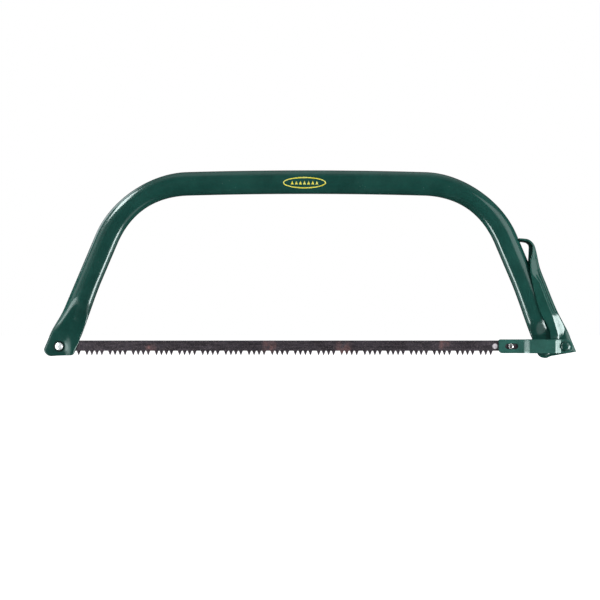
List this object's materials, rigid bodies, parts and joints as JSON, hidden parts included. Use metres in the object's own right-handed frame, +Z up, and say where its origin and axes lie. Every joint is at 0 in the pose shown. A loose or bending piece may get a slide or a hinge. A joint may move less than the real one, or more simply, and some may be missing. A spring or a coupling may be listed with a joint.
{
  "type": "bow saw",
  "caption": "Bow saw: bent oval steel tube holding a peg-tooth blade in tension, with an over-centre lever and link plates that slacken it.",
  "frame": {"origin": "centre of the bottom face of the saw's bounding box; the saw stands with its blade level, teeth down", "axes": "+X along the blade from the toe to the lever, +Y through the saw from its front to its back, +Z up to the top bar"},
  "size_m": [0.7027, 0.0256, 0.2477],
  "materials": {
    "frame_enamel": "glossy dark green enamel",
    "lever_enamel": "glossy dark green enamel on pressed sheet",
    "link_enamel": "dark green enamel on strip, worn at the bends",
    "rivet_enamel": "glossy dark green enamel over steel rivet heads",
    "blade_steel": "brown-grey oiled carbon steel with faint rust",
    "zinc_steel": "bright zinc plate",
    "pin_steel": "bare steel, worn bright",
    "decal_yellow": null
  },
  "bodies": {
    "frame": {"frame_tube": "frame_enamel", "blade": "blade_steel", "toe_screw": "zinc_steel", "toe_washer": "zinc_steel", "toe_nut": "zinc_steel", "fulcrum_rivet": "rivet_enamel", "blade_pin": "pin_steel"},
    "lever": {"tension_lever": "lever_enamel", "link_rivet": "rivet_enamel"},
    "link": {"link_plate_front": "link_enamel", "link_plate_back": "link_enamel"}
  },
  "joints": [
    {"name": "lever_swing", "type": "hinge", "parent": "frame", "child": "lever", "pos_m": [0.3093, 0, 0.0099], "axis": [0, 1, 0], "range_deg": [0, 72]},
    {"name": "link_swing", "type": "hinge", "parent": "lever", "child": "link", "pos_m": [0.3366, 0, 0.0155], "axis": [0, 1, 0], "range_deg": [-45, 0]}
  ],
  "couplings": [
    {"joint": "link_swing", "follows": "lever_swing", "ratio": -0.622}
  ]
}
